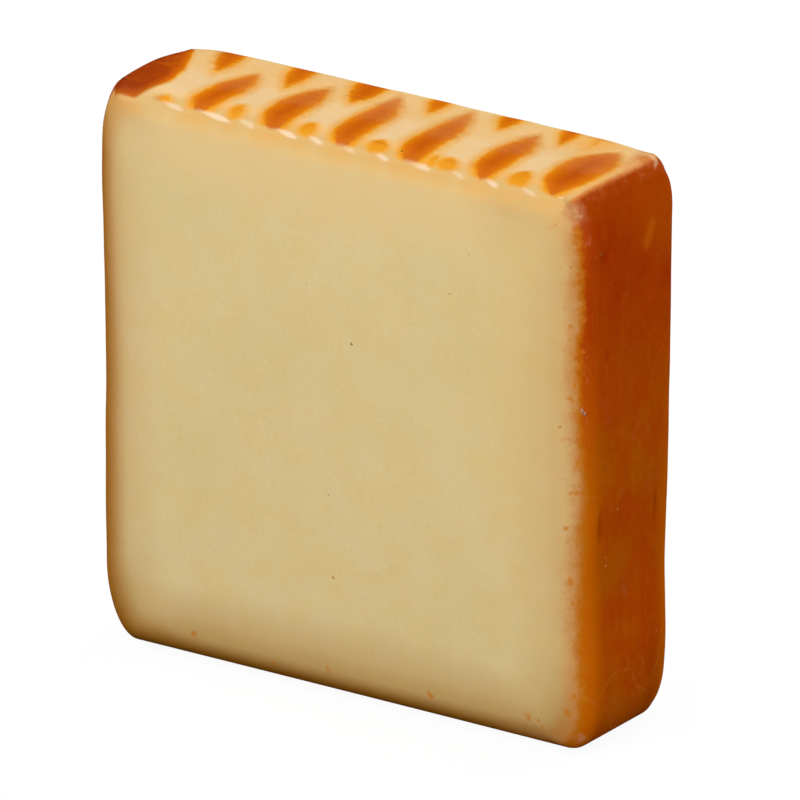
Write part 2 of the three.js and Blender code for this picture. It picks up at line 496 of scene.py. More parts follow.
class Paint:
    """One material and the nodes that are added to it."""

    def __init__(self, name):
        self.material = bpy.data.materials.new(name)
        self.material.use_nodes = True
        self.tree = self.material.node_tree
        self.shader = self.tree.nodes["Principled BSDF"]
        place = self.add("ShaderNodeTexCoord").outputs["Object"]
        self.mm = self.vector("SCALE", place, scale=1 / MM)

    def add(self, kind, **settings):
        """A new node with these settings."""
        node = self.tree.nodes.new(kind)
        for name, value in settings.items():
            setattr(node, name, value)
        return node

    def feed(self, socket, value):
        """A number or colour goes into the socket, and another socket is wired to it."""
        if isinstance(value, bpy.types.NodeSocket):
            self.tree.links.new(value, socket)
        else:
            socket.default_value = value

    def set(self, name, value):
        """Feeds a socket of the shader."""
        self.feed(self.shader.inputs[name], value)

    def math(self, operation, first, second=0.0, clamp=False):
        """One step of arithmetic on two numbers."""
        node = self.add("ShaderNodeMath", operation=operation, use_clamp=clamp)
        self.feed(node.inputs[0], first)
        self.feed(node.inputs[1], second)
        return node.outputs[0]

    def times(self, *factors):
        """The product of all factors."""
        product = factors[0]
        for factor in factors[1:]:
            product = self.math("MULTIPLY", product, factor)
        return product

    def plus(self, *terms):
        """The sum of all terms."""
        total = terms[0]
        for term in terms[1:]:
            total = self.math("ADD", total, term)
        return total

    def less(self, value):
        """What is left of 1."""
        return self.math("SUBTRACT", 1.0, value)

    def vector(self, operation, first, second=(0, 0, 0), scale=1.0):
        """One step of arithmetic on two vectors, or on a vector and a scale."""
        node = self.add("ShaderNodeVectorMath", operation=operation)
        self.feed(node.inputs[0], first)
        if operation == "SCALE":
            self.feed(node.inputs["Scale"], scale)
        else:
            self.feed(node.inputs[1], second)
        gives_number = operation in ("LENGTH", "DISTANCE", "DOT_PRODUCT")
        return node.outputs["Value" if gives_number else "Vector"]

    def line(self, vector, start, stop):
        """How far a place is from the straight line between two points."""
        run = Vector(stop) - Vector(start)
        offset = self.vector("SUBTRACT", vector, start)
        along = self.vector("DOT_PRODUCT", offset, tuple(run / run.length_squared))
        along = self.math("MULTIPLY", along, 1.0, clamp=True)
        foot_point = self.vector("SCALE", tuple(run), scale=along)
        return self.vector("DISTANCE", offset, foot_point)

    def parts(self, vector):
        """The three parts of a vector."""
        node = self.add("ShaderNodeSeparateXYZ")
        self.feed(node.inputs[0], vector)
        return node.outputs[0], node.outputs[1], node.outputs[2]

    def layer(self, name):
        """A number that the mesh carries at its points."""
        return self.add("ShaderNodeAttribute", attribute_name=name).outputs["Fac"]

    def span(self, value, start, stop, low=0.0, high=1.0):
        """A soft step from low at start to high at stop."""
        node = self.add("ShaderNodeMapRange", interpolation_type="SMOOTHSTEP")
        for socket, number in zip(node.inputs, (value, start, stop, low, high)):
            self.feed(socket, number)
        return node.outputs[0]

    def noise(self, vector, size, detail=2.0, rough=0.5, colour=False):
        """Cloudy noise with features of about that size in millimetres."""
        node = self.add("ShaderNodeTexNoise")
        self.feed(node.inputs["Vector"], vector)
        self.feed(node.inputs["Scale"], 1 / size)
        self.feed(node.inputs["Detail"], detail)
        self.feed(node.inputs["Roughness"], rough)
        self.feed(node.inputs["Distortion"], 0.0)
        return node.outputs["Color" if colour else "Fac"]

    def cells(self, vector, size):
        """Random cells of about that size, as the distance to the nearest middle of a cell."""
        node = self.add("ShaderNodeTexVoronoi", feature="F1")
        self.feed(node.inputs["Vector"], vector)
        self.feed(node.inputs["Scale"], 1 / size)
        return node.outputs["Distance"]

    def mix(self, share, first, second):
        """The first colour, with that share of the second over it."""
        node = self.add("ShaderNodeMix", data_type="RGBA", blend_type="MIX")
        self.feed(node.inputs[0], share)
        self.feed(node.inputs[6], first)
        self.feed(node.inputs[7], second)
        return node.outputs[2]

    def ramp(self, value, start, stop, stops):
        """Colours along a value: stops lists (value, colour) from start to stop."""
        node = self.add("ShaderNodeValToRGB")
        marks = node.color_ramp.elements
        while len(marks) < len(stops):
            marks.new(0.5)
        for mark, (at, colour) in zip(marks, stops):
            mark.position = (at - start) / (stop - start)
            mark.color = colour
        share = self.math("DIVIDE", self.math("SUBTRACT", value, start), stop - start, clamp=True)
        self.feed(node.inputs[0], share)
        return node.outputs[0]

    def stretch(self, vector, scale, turn=(0, 0, 0)):
        """The same place, turned and with each axis scaled, for grain that runs one way."""
        node = self.add("ShaderNodeMapping")
        self.feed(node.inputs["Vector"], vector)
        self.feed(node.inputs["Rotation"], turn)
        self.feed(node.inputs["Scale"], scale)
        return node.outputs[0]

    def bump(self, height, depth):
        """Fine relief for the light alone, of that depth in millimetres."""
        node = self.add("ShaderNodeBump")
        self.feed(node.inputs["Strength"], 1.0)
        self.feed(node.inputs["Distance"], depth * MM)
        self.feed(node.inputs["Height"], height)
        return node.outputs[0]


cheese = Paint("smoked_cheese")
print("paint box ready:", cheese.material.name)

# %% [markdown]
# ## The cut face
# Cut cheese looks even from afar, but close up it is curd pressed together: paler and yellower
# patches a few millimetres wide that run into each other like marble. Cells would give round
# grains, so the patches are noise whose places are bent by a second noise. The two tones differ
# more in how yellow they are than in how light they are, and the contrast stays very low. A fine
# grain of darker and lighter points lies over it; the rind and the marks use the same grain.

# %% Mix the paste
x_mm, y_mm, z_mm = cheese.parts(cheese.mm)
drift = cheese.vector("SUBTRACT", cheese.noise(cheese.mm, 8.0, colour=True), (0.5, 0.5, 0.5))
curd_place = cheese.vector("ADD", cheese.mm, cheese.vector("SCALE", drift, scale=9.0))
marble = cheese.noise(curd_place, 6.0, 3.0, 0.55)
fine = cheese.noise(curd_place, 1.6, 3.0, 0.6)
clouds = cheese.noise(cheese.mm, 30.0, 2.0)
PALE_CURD = tone(227, 205, 152)
YELLOW_CURD = tone(227, 201, 141)
DRY_CURD = tone(221, 199, 142)
DARK_GRAIN = tone(216, 194, 136)
LIGHT_GRAIN = tone(235, 213, 164)
paste = cheese.mix(cheese.span(marble, 0.36, 0.64), PALE_CURD, YELLOW_CURD)
paste = cheese.mix(cheese.span(fine, 0.35, 0.75, 0.0, 0.35), paste, YELLOW_CURD)
paste = cheese.mix(cheese.span(clouds, 0.4, 0.65, 0.0, 0.45), paste, DRY_CURD)
grain = cheese.noise(cheese.mm, 0.7, 4.0, 0.65)
paste = cheese.mix(cheese.span(grain, 0.5, 0.7, 0.0, 0.3), paste, DARK_GRAIN)
paste = cheese.mix(cheese.span(grain, 0.5, 0.3, 0.0, 0.3), paste, LIGHT_GRAIN)
print("paste:", [round(part, 3) for part in PALE_CURD[:3]])

# %% [markdown]
# ## From paste to rind
# Smoke colours the cut face too, but only near its edges: tan where the face starts to turn,
# then a ragged orange band over the rim, then the rind. All three steps follow the length of skin
# from the rim's start. A clean line would look printed, so that length is roughened with a small
# noise and made to wander with a large one, and at the right edge it also shifts with the height.

# %% Find the edge
inward_mm = cheese.layer("inward")
around_mm = cheese.layer("around")
top_face = cheese.span(around_mm, 62.0, 40.0)
off_top = cheese.less(top_face)
ragged = cheese.math("SUBTRACT", cheese.noise(cheese.mm, 2.0, 5.0, 0.7), 0.5)
wander = cheese.math("SUBTRACT", cheese.noise(cheese.mm, 9.0, 2.0), 0.5)
middle_shift = cheese.span(z_mm, 48.0, 62.0, 0.65, -0.55)
upper_shift = cheese.span(z_mm, 64.0, 84.0, 0.0, 0.25)
edge_shift = cheese.plus(middle_shift, upper_shift)
edge_shift = cheese.plus(edge_shift, cheese.span(z_mm, 46.0, 26.0, 0.0, -0.5))
edge = cheese.plus(inward_mm, cheese.times(ragged, 3.0), cheese.times(wander, 2.0), edge_shift)
corner_mm = cheese.plus(around_mm, cheese.times(ragged, 0.6))
top_share = cheese.span(corner_mm, 48.2, 47.4)
away_from_top = cheese.less(top_share)
far_left = cheese.span(x_mm, -28.0, -42.0)
far_right = cheese.span(x_mm, 30.0, 42.0)
lower_face = cheese.span(around_mm, 134.0, 152.0)
print("nodes that find the edge:", len(cheese.tree.nodes))

# %% [markdown]
# The tan comes in two fades, a wide faint one and a narrow strong one. On the left and at the foot
# it reaches further in, partly as browning and partly as painted shade. On the top edge the pale
# strands run over the rim and meet the paste without a band, so there the browning is held back to
# a warm tint, which glows below each mark.

# %% Tan the cut face
TAN = tone(208, 164, 104)
FOOT_TAN_AND_SHADE = tone(197, 160, 99)
WARM_SIDE = tone(225, 192, 124)
WARM_FACE = tone(233, 201, 141)
WARM_TOP = tone(216, 177, 109)
top_right = cheese.span(x_mm, 22.0, 36.0, 0.0, 0.85)
top_left = cheese.span(x_mm, -32.0, -41.0, 0.0, 0.7)
top_corner = cheese.plus(top_right, top_left)
off_top_end = cheese.math("MAXIMUM", off_top, top_corner)
warm_side = cheese.times(cheese.span(x_mm, 20.0, 40.0), cheese.span(z_mm, 20.0, 75.0, 0.2, 0.5))
near_edge = cheese.plus(inward_mm, cheese.times(wander, 2.0))
far_fade = cheese.times(cheese.span(near_edge, 19.0, 7.0), off_top_end, 0.38)
near_fade = cheese.times(cheese.span(near_edge, 11.0, 6.0), off_top_end)
near_fade = cheese.times(near_fade, cheese.span(far_right, 0.0, 1.0, 1.0, 0.4))
browned = cheese.mix(warm_side, paste, WARM_SIDE)
browned = cheese.mix(far_fade, browned, TAN)
browned = cheese.mix(near_fade, browned, TAN)
# At the foot the tan is partly browning and partly painted shade
foot_far_fade = cheese.times(cheese.span(near_edge, 20.0, 8.0), lower_face, 0.5)
browned = cheese.mix(foot_far_fade, browned, FOOT_TAN_AND_SHADE)
foot_near_fade = cheese.times(cheese.span(near_edge, 12.0, 7.0), lower_face)
browned = cheese.mix(foot_near_fade, browned, FOOT_TAN_AND_SHADE)
off_corner = cheese.less(top_corner)
warm_face = cheese.times(cheese.span(inward_mm, 24.0, 7.0), top_face)
warm_face = cheese.times(warm_face, cheese.plus(cheese.times(off_corner, 0.6), 0.2))
browned = cheese.mix(warm_face, browned, WARM_FACE)
glow_mm = cheese.layer("glow")
warm_share = cheese.times(cheese.span(inward_mm, 8.6, 4.6), top_face)
warm_share = cheese.times(warm_share, cheese.span(glow_mm, -4.0, 1.0, 0.6, 1.0))
browned = cheese.mix(warm_share, browned, WARM_TOP)
print("tan:", [round(part, 3) for part in TAN[:3]])

# %% [markdown]
# Close to the rind the tan deepens. On the left and at the foot it does so smoothly, partly as
# browning and partly as painted shade. On the right, where the knife came out, the step is ragged:
# deep tan, then an orange band, with orange flecks scattered before it.

# %% Lay the band and the flecks
DEEP_TAN = tone(203, 140, 76)
DEEP_FOOT_AND_SHADE = tone(175, 112, 30)
ORANGE_BAND = tone(197, 110, 10)
FLECK = tone(206, 122, 36)
smooth_side = cheese.math("MAXIMUM", cheese.less(far_right), lower_face)
# On the left and at the foot the deep tan is partly browning and partly painted shade
deep_from = cheese.plus(cheese.times(far_left, cheese.span(z_mm, 90.0, 20.0, 0.6, 2.2)), 8.2)
smooth_deep = cheese.times(cheese.span(inward_mm, deep_from, 4.2), off_top, smooth_side)
browned = cheese.mix(smooth_deep, browned, DEEP_FOOT_AND_SHADE)
tan_from = cheese.span(z_mm, 46.0, 30.0, 7.5, 8.4)
ragged_deep = cheese.times(cheese.span(edge, tan_from, 4.2), off_top, far_right, away_from_top)
browned = cheese.mix(ragged_deep, browned, DEEP_TAN)
band_from = cheese.span(z_mm, 66.0, 40.0, 4.8, 5.5)
band_share = cheese.times(cheese.span(edge, band_from, 3.7), away_from_top, far_right)
browned = cheese.mix(band_share, browned, ORANGE_BAND)
flecks = cheese.span(cheese.noise(cheese.mm, 1.5, 2.0, 0.6), 0.6, 0.68)
flecks = cheese.times(flecks, cheese.span(edge, 9.5, 4.5), far_right, away_from_top, 0.5)
browned = cheese.mix(flecks, browned, FLECK)
print("orange band:", [round(part, 3) for part in ORANGE_BAND[:3]])

# %% [markdown]
# ## The rind of the sides
# The sides are brown right through their skin. Runs of condensed smoke leave faint upright streaks
# and a few thin lighter lines, some parts are redder, and the lower part is duller. Each of these is
# a noise, stretched upright for the streaks and runs, that mixes one more tone in.

# %% Mix the rind
upright_mm = cheese.stretch(cheese.mm, (1.0, 1.0, 0.03))
streaks = cheese.noise(upright_mm, 1.6, 3.0, 0.6)
blotches = cheese.noise(cheese.mm, 11.0, 3.0, 0.55)
RIND = tone(187, 71, 0)
RED_RIND = tone(180, 56, 0)
DULL_RIND = tone(187, 89, 0)
LIGHT_RIND = tone(196, 90, 0)
DARK_RIND = tone(158, 50, 0)
rind = cheese.mix(cheese.span(z_mm, 50.0, 85.0), DULL_RIND, RED_RIND)
rind = cheese.mix(cheese.span(blotches, 0.35, 0.65), rind, RIND)
rind = cheese.mix(cheese.span(streaks, 0.52, 0.75, 0.0, 0.35), rind, LIGHT_RIND)
rind = cheese.mix(cheese.span(streaks, 0.48, 0.25, 0.0, 0.18), rind, DARK_RIND)
run_mm = cheese.stretch(cheese.mm, (1.0, 1.0, 0.05))
runs = cheese.math("ABSOLUTE", cheese.math("SUBTRACT", cheese.noise(run_mm, 3.4, 1.0), 0.5))
rind = cheese.mix(cheese.span(runs, 0.012, 0.004, 0.0, 0.22), rind, LIGHT_RIND)
print("rind:", [round(part, 3) for part in RIND[:3]])

# %% [markdown]
# Then the wear: dust and scuffs leave greyish patches and pale points. Painted shade darkens the foot
# of the wall, and a painted patch of light brightens it near the top. Next to the cut the rind is
# lighter too, and it darkens towards the corner of the top.

# %% Weather the rind and paint its light and shade
EDGE_RIND = tone(204, 101, 0)
CORNER_RIND = tone(168, 61, 0)
SHADED_FOOT_RIND = tone(158, 60, 0)
LIT_RIND = tone(202, 88, 0)
RIND_GRAIN = tone(214, 126, 60)
DUST = tone(188, 110, 70)
PALE_DOT = tone(236, 196, 160)
dust = cheese.span(cheese.noise(curd_place, 5.0, 4.0, 0.65), 0.58, 0.75, 0.0, 0.3)
rind = cheese.mix(cheese.times(dust, cheese.span(z_mm, 75.0, 50.0)), rind, DUST)
rind = cheese.mix(cheese.span(grain, 0.52, 0.72, 0.0, 0.16), rind, RIND_GRAIN)
rind = cheese.mix(cheese.span(grain, 0.48, 0.28, 0.0, 0.3), rind, DARK_RIND)
dots = cheese.span(cheese.cells(cheese.mm, 5.5), 0.045, 0.025)
rind = cheese.mix(cheese.times(dots, 0.55), rind, PALE_DOT)
right_end = cheese.span(x_mm, 30.0, 40.0)
# Painted shade: the foot of the wall is darkened towards the back
foot_shade = cheese.times(cheese.span(z_mm, 24.0, 6.0), cheese.span(y_mm, 2.0, 9.0), right_end)
rind = cheese.mix(cheese.times(foot_shade, 0.6), rind, SHADED_FOOT_RIND)
# Painted light: a patch near the top of the wall is brightened
lit_patch = cheese.times(cheese.span(z_mm, 82.0, 89.0), cheese.span(y_mm, -3.0, 3.0), right_end)
rind = cheese.mix(cheese.times(lit_patch, 0.45), rind, LIT_RIND)
edge_share = cheese.times(cheese.span(inward_mm, -2.5, 2.5), cheese.span(z_mm, 80.0, 30.0))
rind = cheese.mix(edge_share, rind, EDGE_RIND)
rind = cheese.mix(cheese.span(around_mm, 60.0, 49.5, 0.0, 0.75), rind, CORNER_RIND)
print("nodes so far:", len(cheese.tree.nodes))

# %% [markdown]
# Some faults of the right wall have a place of their own: the nicks, darker inside, one orange
# smudge below the top, and a few fine creases near the foot. Noise could only scatter such things,
# so each is written down as a point or as a line from one point to another.

# %% Mark the faults of the right wall
NICK_RIND = tone(150, 34, 0)
SMUDGE = tone(222, 120, 20)
CREASE = tone(224, 134, 52)
NOWHERE_NEAR = 9.0
for nick_y, nick_z, long, wide, _ in NICKS:
    nick = cheese.vector("SUBTRACT", cheese.mm, (HALF_WIDTH, nick_y, nick_z))
    nick = cheese.vector("LENGTH", cheese.stretch(nick, (0.3, 0.6 / wide, 0.6 / long)))
    rind = cheese.mix(cheese.span(nick, 1.0, 0.3, 0.0, 0.35), rind, NICK_RIND)
smudge = cheese.line(cheese.mm, (HALF_WIDTH, 5.6, 90.0), (HALF_WIDTH, 4.4, 87.2))
smudge = cheese.plus(smudge, cheese.times(wander, 2.0), cheese.times(ragged, 1.6))
rind = cheese.mix(cheese.span(smudge, 1.6, 0.0, 0.0, 0.36), rind, SMUDGE)
# Creases low on the right wall, each from one point to another (through, height)
CREASES = [
    ((-9.0, 10.3), (-5.0, 12.4)),
    ((-5.0, 12.4), (-1.5, 12.9)),
    ((-2.0, 14.6), (1.5, 10.8)),
    ((1.5, 10.8), (6.3, 6.0)),
    ((2.0, 14.0), (4.5, 11.5)),
    ((10.4, 16.5), (8.6, 12.0)),
    ((8.6, 12.0), (7.4, 7.5)),
]
wall_mm = cheese.vector("ADD", cheese.mm, cheese.vector("SCALE", drift, scale=5.0))
wall_mm = cheese.stretch(wall_mm, (0.0, 1.0, 1.0))
crease_mm = NOWHERE_NEAR
for start, stop in CREASES:
    crease_mm = cheese.math("MINIMUM", crease_mm, cheese.line(wall_mm, (0, *start), (0, *stop)))
creased = cheese.times(cheese.span(crease_mm, 0.45, 0.05), cheese.span(x_mm, 40.0, 45.0), 0.22)
creased = cheese.times(creased, cheese.span(fine, 0.35, 0.6))
rind = cheese.mix(creased, rind, CREASE)
print("creases:", len(CREASES))

# %% [markdown]
# ## The marks of the rack
# Between the marks the cheese keeps a pale peach colour, creamy where the strands are wide and
# warmer at the back and close to a mark. Fine wiping lines cross it at a slant: a noise stretched
# along them. The depth inside a mark is broken up a little first, so that no mark has a clean edge.

# %% Paint the strands
smoke_mm = cheese.layer("smoke")
brushed_mm = cheese.stretch(cheese.mm, (0.1, 1.0, 1.0), (0, 0, -0.35))
brush = cheese.noise(brushed_mm, 1.0, 2.0, 0.5)
soft_edge = cheese.math("SUBTRACT", cheese.noise(cheese.mm, 2.0, 3.0, 0.6), 0.5)
breakup = cheese.times(soft_edge, cheese.span(inward_mm, -3.0, 0.5, 1.6, 0.7))
mark = cheese.plus(smoke_mm, breakup, cheese.times(brush, 0.25), -0.12)
STRAND = tone(238, 202, 149)
STRAND_WARM = tone(236, 187, 114)
STRAND_PINK = tone(242, 206, 168)
STRAND_GRAIN = tone(247, 219, 180)
BACK_EDGE_HIGHLIGHT = tone(246, 212, 140)
back_warmth = cheese.span(y_mm, -3.0, 4.0, 0.0, 0.6)
strand_warmth = cheese.plus(back_warmth, cheese.span(brush, 0.35, 0.7, 0.0, 0.25))
strand = cheese.mix(strand_warmth, STRAND, STRAND_WARM)
strand = cheese.mix(cheese.span(smoke_mm, -2.4, -0.4, 0.0, 0.6), strand, STRAND_WARM)
wipes = cheese.span(cheese.noise(brushed_mm, 1.4, 4.0, 0.65), 0.5, 0.8, 0.0, 0.2)
strand = cheese.mix(wipes, strand, STRAND_PINK)
strand = cheese.mix(cheese.span(grain, 0.5, 0.7, 0.0, 0.3), strand, STRAND_GRAIN)
on_rim = cheese.span(inward_mm, 0.5, 4.2)
strand = cheese.mix(cheese.times(on_rim, 0.85), strand, WARM_TOP)
# Painted highlight: a light line along the back edge of the top, where light from behind catches it
strand = cheese.mix(cheese.span(y_mm, 10.2, 11.6, 0.0, 0.6), strand, BACK_EDGE_HIGHLIGHT)
print("strand:", [round(part, 3) for part in STRAND[:3]])

# %% [markdown]
# Each mark starts with a soft yellow fringe, turns orange and is red-brown inside, so its depth
# picks the colour from a ramp. The small marks along the front never get past yellow. A thin painted
# sheen greys the back half of the middle row.

# %% Paint the marks
MARK_STOPS = [
    (0.0, tone(238, 172, 76)),
    (0.5, tone(231, 148, 20)),
    (1.1, tone(217, 118, 0)),
    (2.2, tone(207, 100, 0)),
    (4.0, tone(189, 82, 0)),
    (6.0, tone(170, 64, 0)),
    (8.0, tone(158, 56, 0)),
]
MARK_DARK = tone(176, 66, 0)
MARK_LIGHT = tone(226, 122, 4)
MARK_GRAIN = tone(226, 136, 50)
RIM_MARK = tone(208, 110, 0)
YELLOW_SPOT = tone(236, 160, 26)
MARK_SHEEN = tone(206, 128, 72)
left_end = cheese.span(x_mm, -36.0, -39.5)
mark_colour = cheese.ramp(mark, 0.0, DEEPEST, MARK_STOPS)
mark_colour = cheese.mix(cheese.span(brush, 0.5, 0.3, 0.0, 0.25), mark_colour, MARK_DARK)
mark_colour = cheese.mix(cheese.span(blotches, 0.55, 0.75, 0.0, 0.4), mark_colour, MARK_LIGHT)
mark_colour = cheese.mix(cheese.span(grain, 0.52, 0.72, 0.0, 0.25), mark_colour, MARK_GRAIN)
rim_mark = cheese.times(on_rim, cheese.span(mark, 0.7, 1.6), cheese.less(left_end), 0.7)
mark_colour = cheese.mix(rim_mark, mark_colour, RIM_MARK)
spot_share = cheese.times(on_rim, cheese.span(mark, 1.5, 0.8), cheese.less(left_end), 0.85)
mark_colour = cheese.mix(spot_share, mark_colour, YELLOW_SPOT)
# Painted sheen: a pale reflection over the middle-row marks, stronger towards the back
haze_y = cheese.plus(y_mm, cheese.times(soft_edge, 5.0), cheese.times(wander, 6.0))
front_haze = cheese.span(haze_y, -5.5, -2.5, 0.0, 0.25)
haze = cheese.plus(front_haze, cheese.span(haze_y, 2.0, 7.0, 0.0, 0.35))
mark_colour = cheese.mix(cheese.times(haze, cheese.layer("in_middle_row")), mark_colour, MARK_SHEEN)
print("stops of the mark colour:", len(MARK_STOPS))

# %% [markdown]
# The left end of the top is browned all over: mottled in the middle, scorched towards the corner,
# darkest where it reaches the front rim, and then fading to orange and yellow within two
# millimetres. After that the marks can be laid over the strands.

# %% Brown the left end
SCORCH = tone(112, 40, 0)
MOTTLE = tone(208, 102, 4)
LEFT_DARK = tone(146, 48, 0)
LEFT_FRINGE = tone(200, 96, 0)
LEFT_TIP = tone(230, 152, 30)
scorched = cheese.span(cheese.noise(cheese.mm, 3.5, 4.0, 0.65), 0.54, 0.68)
scorched = cheese.plus(cheese.times(scorched, 0.5), cheese.span(around_mm, 44.5, 48.5, 0.0, 0.55))
scorched = cheese.times(scorched, cheese.span(x_mm, -42.5, -46.0))
mottle = cheese.span(cheese.noise(curd_place, 4.0, 4.0, 0.6), 0.48, 0.64)
mark_colour = cheese.mix(cheese.times(mottle, left_end, 0.4), mark_colour, MOTTLE)
mark_colour = cheese.mix(scorched, mark_colour, SCORCH)
left_dark = cheese.times(cheese.span(inward_mm, -3.0, 1.5), left_end, 0.5)
mark_colour = cheese.mix(left_dark, mark_colour, LEFT_DARK)
left_fringe = cheese.times(cheese.span(inward_mm, 2.2, 4.4), left_end, 0.75)
mark_colour = cheese.mix(left_fringe, mark_colour, LEFT_FRINGE)
left_tip = cheese.times(cheese.span(inward_mm, 3.8, 5.0), left_end, 0.8)
mark_colour = cheese.mix(left_tip, mark_colour, LEFT_TIP)
mark_inward = cheese.plus(inward_mm, cheese.times(ragged, 2.0), cheese.times(left_end, -0.35))
mark_stop = cheese.span(mark_inward, 4.5, 3.5)
mark_share = cheese.times(cheese.span(mark, -1.8, 0.8), mark_stop)
lattice = cheese.mix(mark_share, strand, mark_colour)
print("nodes so far:", len(cheese.tree.nodes))

# %% [markdown]
# The pale strip at the right end of the top closes with a thin orange line, and its back half is
# rubbed brown. Beyond the line the side begins, with a faint painted sheen along the corner.

# %% Close the right end
STRIP = tone(218, 168, 98)
CORNER_LINE = tone(208, 112, 26)
WORN_END = tone(222, 152, 88)
WORN_SPOT = tone(204, 108, 32)
WORN_SPOT_AT = (47.0, 8.2, 99.8)
EDGE_SHEEN = tone(216, 146, 92)
strip_share = cheese.times(cheese.span(around_mm, 43.5, 47.0), right_end, 0.6)
lattice = cheese.mix(cheese.times(strip_share, cheese.less(mark_share)), lattice, STRIP)
corner_line = cheese.times(cheese.span(corner_mm, 46.9, 47.6), right_end, 0.85)
lattice = cheese.mix(corner_line, lattice, CORNER_LINE)
worn_x = cheese.plus(x_mm, cheese.times(y_mm, 0.32), cheese.times(ragged, 1.5))
worn_x = cheese.plus(worn_x, cheese.times(wander, 1.5))
worn_end = cheese.times(cheese.span(worn_x, 46.2, 48.0), cheese.span(y_mm, -0.5, 2.5), 0.65)
lattice = cheese.mix(cheese.times(worn_end, right_end), lattice, WORN_END)
worn_spot = cheese.vector("DISTANCE", cheese.mm, WORN_SPOT_AT)
worn_spot = cheese.plus(worn_spot, cheese.times(ragged, 2.0))
lattice = cheese.mix(cheese.span(worn_spot, 2.4, 0.6, 0.0, 0.7), lattice, WORN_SPOT)
outer = cheese.mix(top_share, rind, lattice)
# Painted sheen along the corner between the top and the right wall
edge_sheen_noise = cheese.span(cheese.noise(cheese.mm, 1.8, 4.0, 0.7), 0.45, 0.7)
edge_sheen_share = cheese.times(cheese.span(corner_mm, 47.2, 48.0), cheese.span(corner_mm, 51.0, 48.4))
edge_sheen_share = cheese.times(edge_sheen_share, edge_sheen_noise, right_end)
outer = cheese.mix(cheese.times(edge_sheen_share, 0.2), outer, EDGE_SHEEN)
print("nodes so far:", len(cheese.tree.nodes))

# %% [markdown]
# Below the marks a glow of smoke runs a few millimetres down the cut face; at the left corner
# painted shade darkens it.
# Then the two large parts meet: the rind and the lattice outside, the browned paste inside. On the
# sides the ragged edge parts them, and on the top a soft one, further in.

# %% Join the rind and the cut face
GLOW = tone(238, 172, 84)
LEFT_SHADE = tone(196, 128, 62)
glow_share = cheese.times(cheese.span(glow_mm, -2.5, 2.5), cheese.span(inward_mm, 9.5, 4.0), top_face)
browned = cheese.mix(cheese.times(glow_share, 0.42), browned, GLOW)
# Painted shade below the rim at the left corner
left_shade = cheese.times(glow_share, cheese.span(x_mm, -39.5, -43.0), 0.35)
browned = cheese.mix(left_shade, browned, LEFT_SHADE)
side_rind = cheese.span(cheese.plus(edge, cheese.times(far_left, 1.3)), 4.0, 2.8)
left_reach = cheese.times(left_end, cheese.span(around_mm, 47.0, 45.5))
top_rind = cheese.span(cheese.plus(inward_mm, cheese.times(left_reach, -0.7)), 5.4, 3.4)
rind_share = cheese.plus(cheese.times(side_rind, away_from_top), cheese.times(top_rind, top_share))
colour = cheese.mix(rind_share, browned, outer)
print("nodes so far:", len(cheese.tree.nodes))

# %% [markdown]
# Handling leaves its traces last, on top of everything: fine pale scratches along the right rim, a
# rubbed front corner and a few scuffs. A painted highlight runs along the lip of the worn back
# corner. Each has its place and fades out in a ragged way.

# %% Add scratches, scuffs and the painted highlight on the lip
SCRATCH = tone(236, 186, 138)
RUBBED = tone(198, 128, 72)
RUBBED_AT = (47.0, -13.3, 96.7)
LIP_HIGHLIGHT = tone(234, 190, 150)
SCUFF = tone(232, 196, 158)
# Scuffed spots: place, reach and strength
SCUFFS = [
    ((46.9, -13.4, 96.7), 2.8, 0.35),
    ((48.0, -11.8, 2.6), 1.8, 0.35),
    ((-37.4, 3.0, 101.4), 1.7, 0.4),
]
# The painted highlight on the lip of the worn corner, as a line through these points
LIP_HIGHLIGHT_LINE = [(43.8, 10.5, 100.3), (46.3, 10.0, 100.1), (47.7, 10.1, 99.3), (48.4, 8.9, 98.3)]
scratch_mm = cheese.stretch(cheese.mm, (1.0, 1.0, 0.4))
scratch_noise = cheese.span(cheese.noise(scratch_mm, 0.9, 3.0, 0.7), 0.6, 0.7)
scratches = cheese.times(cheese.span(inward_mm, 5.5, 4.0), cheese.span(inward_mm, 0.5, 2.0))
scratches = cheese.times(scratches, scratch_noise, right_end)
scratches = cheese.times(scratches, cheese.span(z_mm, 55.0, 75.0, 0.08, 0.14), away_from_top)
colour = cheese.mix(scratches, colour, SCRATCH)
rubbed = cheese.plus(cheese.vector("DISTANCE", cheese.mm, RUBBED_AT), cheese.times(ragged, 4.0))
colour = cheese.mix(cheese.span(rubbed, 2.6, 0.8, 0.0, 0.5), colour, RUBBED)
# Painted highlight: a pale line along the lip of the worn back corner
lip_highlight_mm = NOWHERE_NEAR
for start, stop in zip(LIP_HIGHLIGHT_LINE, LIP_HIGHLIGHT_LINE[1:]):
    lip_highlight_mm = cheese.math("MINIMUM", lip_highlight_mm, cheese.line(cheese.mm, start, stop))
lip_highlight_mm = cheese.plus(lip_highlight_mm, cheese.times(ragged, 1.6), cheese.span(z_mm, 99.2, 98.2, 0.0, 0.5))
colour = cheese.mix(cheese.span(lip_highlight_mm, 0.8, 0.2, 0.0, 0.5), colour, LIP_HIGHLIGHT)
scuff_noise = cheese.span(cheese.noise(brushed_mm, 1.0, 3.0, 0.6), 0.3, 0.7)
for scuff_place, reach, strength in SCUFFS:
    scuff_away = cheese.vector("DISTANCE", cheese.mm, scuff_place)
    scuff_away = cheese.plus(scuff_away, cheese.times(ragged, 3.0))
    scuff = cheese.times(cheese.span(scuff_away, reach, 0.2 * reach), scuff_noise, strength)
    colour = cheese.mix(scuff, colour, SCUFF)
print("scuffs:", len(SCUFFS))

# %% [markdown]
# The knife dragged rind over the edge, mostly on the right and at the foot. As lumps these smears
# would look like beads, because they are pressed flat into the paste, so they are painted: spots whose
# outline is bent by a small noise.

# %% Smear rind over the edge
SMEAR = tone(203, 120, 18)
